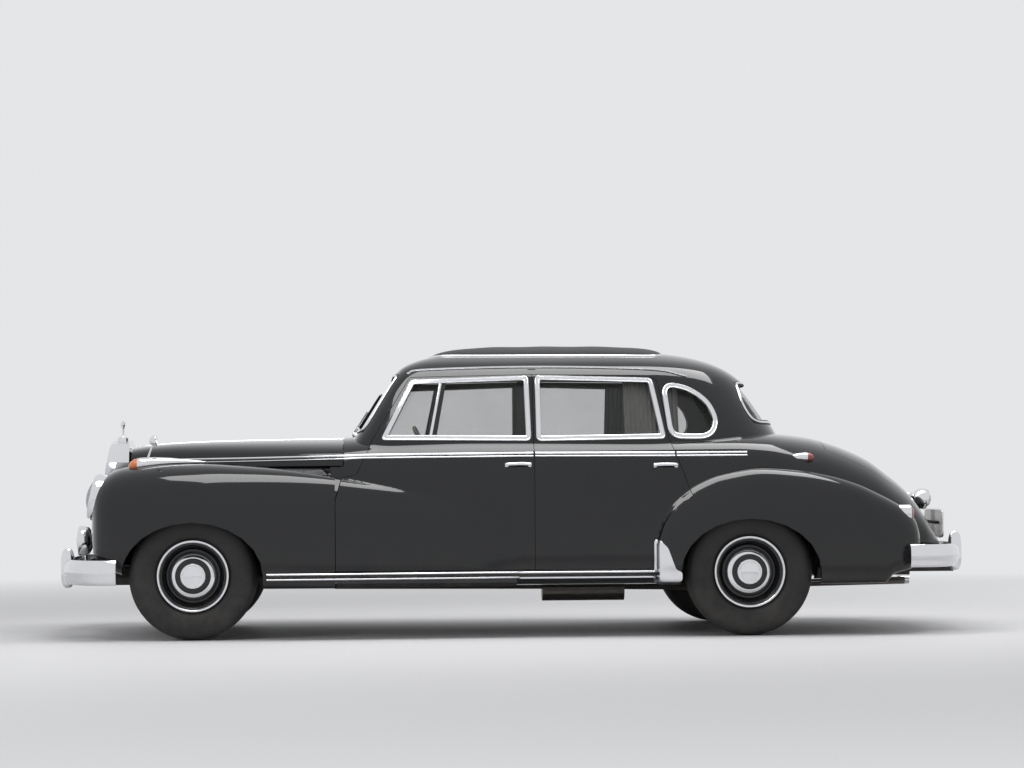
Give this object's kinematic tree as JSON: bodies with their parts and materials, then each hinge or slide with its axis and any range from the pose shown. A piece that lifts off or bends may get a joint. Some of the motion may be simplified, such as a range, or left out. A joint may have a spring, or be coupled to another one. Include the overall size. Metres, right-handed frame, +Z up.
{
  "type": "four_door_saloon_car",
  "caption": "Black early-1950s full-size four-door saloon car with chrome radiator, flowing fenders, opening doors, bonnet and boot, steering front wheels.",
  "frame": {"origin": "on the ground under the middle of the car, at the middle of its length and width", "axes": "+X to the rear, +Y to the car's right side, +Z up; the car faces -X and the pictured side is -Y"},
  "size_m": [5.0638, 1.838, 1.6329],
  "materials": {
    "body_paint": "gloss",
    "chrome_trim": "polished",
    "window_glass": "polished",
    "red_lens": "gloss",
    "tyre_rubber": "matte",
    "wheel_steel": "satin",
    "chassis_paint": "satin",
    "cast_iron": "matte",
    "pipe_steel": "satin",
    "seat_cloth": "matte",
    "walnut": "gloss",
    "roof_canvas": "matte",
    "bakelite": "gloss"
  },
  "bodies": {
    "body": {"body_shell": "body_paint", "chassis_frame": "chassis_paint", "dashboard": "walnut", "engine": "cast_iron", "exhaust": "pipe_steel", "front_apron": "body_paint", "front_axle": "chassis_paint", "front_bumper": "chrome_trim", "front_fender_left": "body_paint", "front_fender_right": "body_paint", "front_seat": "seat_cloth", "fuel_tank": "chassis_paint", "grille": "chrome_trim", "headlamp_left": "chrome_trim", "headlamp_right": "chrome_trim", "quarter_glass_left": "window_glass", "quarter_glass_right": "window_glass", "radiator_shell": "chrome_trim", "rear_axle": "cast_iron", "rear_bumper": "chrome_trim", "rear_fender_left": "body_paint", "rear_fender_right": "body_paint", "rear_seat": "seat_cloth", "rear_window": "window_glass", "side_lamp_left": "chrome_trim", "side_lamp_right": "chrome_trim", "sunroof": "roof_canvas", "tail_lamp_left": "red_lens", "tail_lamp_right": "red_lens", "turn_lamp_left": "chrome_trim", "turn_lamp_right": "chrome_trim", "windscreen": "window_glass"},
    "bonnet": {"bonnet": "body_paint"},
    "trunk_lid": {"trunk_lid": "body_paint", "plate_lamp": "chrome_trim"},
    "steering_wheel": {"steering_wheel": "bakelite"},
    "door_front_left": {"door_front_left": "body_paint", "front_glass_left": "window_glass"},
    "door_rear_left": {"door_rear_left": "body_paint", "rear_glass_left": "window_glass"},
    "knuckle_left": {"knuckle_left": "cast_iron"},
    "wheel_front_left": {"wheel_front_left": "wheel_steel", "tyre_front_left": "tyre_rubber"},
    "wheel_rear_left": {"wheel_rear_left": "wheel_steel", "tyre_rear_left": "tyre_rubber"},
    "door_front_right": {"door_front_right": "body_paint", "front_glass_right": "window_glass"},
    "door_rear_right": {"door_rear_right": "body_paint", "rear_glass_right": "window_glass"},
    "knuckle_right": {"knuckle_right": "cast_iron"},
    "wheel_front_right": {"wheel_front_right": "wheel_steel", "tyre_front_right": "tyre_rubber"},
    "wheel_rear_right": {"wheel_rear_right": "wheel_steel", "tyre_rear_right": "tyre_rubber"}
  },
  "joints": [
    {"name": "door_front_left_hinge", "type": "hinge", "parent": "body", "child": "door_front_left", "pos_m": [-0.98768, -0.90805, 0.64], "axis": [0, 0, -1], "range_deg": [0, 65]},
    {"name": "door_rear_left_hinge", "type": "hinge", "parent": "body", "child": "door_rear_left", "pos_m": [0.09617, -0.84027, 0.64], "axis": [0, 0, -1], "range_deg": [0, 65]},
    {"name": "steer_left", "type": "hinge", "parent": "body", "child": "knuckle_left", "pos_m": [-1.7775, -0.655, 0.35], "axis": [0, 0, 1], "range_deg": [-28, 28]},
    {"name": "spin_front_left", "type": "hinge", "parent": "knuckle_left", "child": "wheel_front_left", "pos_m": [-1.7775, -0.74, 0.35], "axis": [0, 1, 0], "continuous": true},
    {"name": "spin_rear_left", "type": "hinge", "parent": "body", "child": "wheel_rear_left", "pos_m": [1.2725, -0.7625, 0.35], "axis": [0, 1, 0], "continuous": true},
    {"name": "door_front_right_hinge", "type": "hinge", "parent": "body", "child": "door_front_right", "pos_m": [-0.98768, 0.90805, 0.64], "axis": [0, 0, 1], "range_deg": [0, 65]},
    {"name": "door_rear_right_hinge", "type": "hinge", "parent": "body", "child": "door_rear_right", "pos_m": [0.09617, 0.84027, 0.64], "axis": [0, 0, 1], "range_deg": [0, 65]},
    {"name": "steer_right", "type": "hinge", "parent": "body", "child": "knuckle_right", "pos_m": [-1.7775, 0.655, 0.35], "axis": [0, 0, 1], "range_deg": [-28, 28]},
    {"name": "spin_front_right", "type": "hinge", "parent": "knuckle_right", "child": "wheel_front_right", "pos_m": [-1.7775, 0.74, 0.35], "axis": [0, 1, 0], "continuous": true},
    {"name": "spin_rear_right", "type": "hinge", "parent": "body", "child": "wheel_rear_right", "pos_m": [1.2725, 0.7625, 0.35], "axis": [0, 1, 0], "continuous": true},
    {"name": "bonnet_hinge", "type": "hinge", "parent": "body", "child": "bonnet", "pos_m": [-0.95729, 0, 1.1016], "axis": [0, 1, 0], "range_deg": [0, 50]},
    {"name": "trunk_hinge", "type": "hinge", "parent": "body", "child": "trunk_lid", "pos_m": [1.74236, 0, 1.0784], "axis": [0, -1, 0], "range_deg": [0, 60]},
    {"name": "steering_column", "type": "hinge", "parent": "body", "child": "steering_wheel", "pos_m": [-0.47, -0.36, 0.975], "axis": [0.8988, 0, 0.4384], "range_deg": [-480, 480]}
  ],
  "couplings": [
    {"joint": "steer_right", "follows": "steer_left", "ratio": 1},
    {"joint": "steering_column", "follows": "steer_left", "ratio": 17}
  ]
}
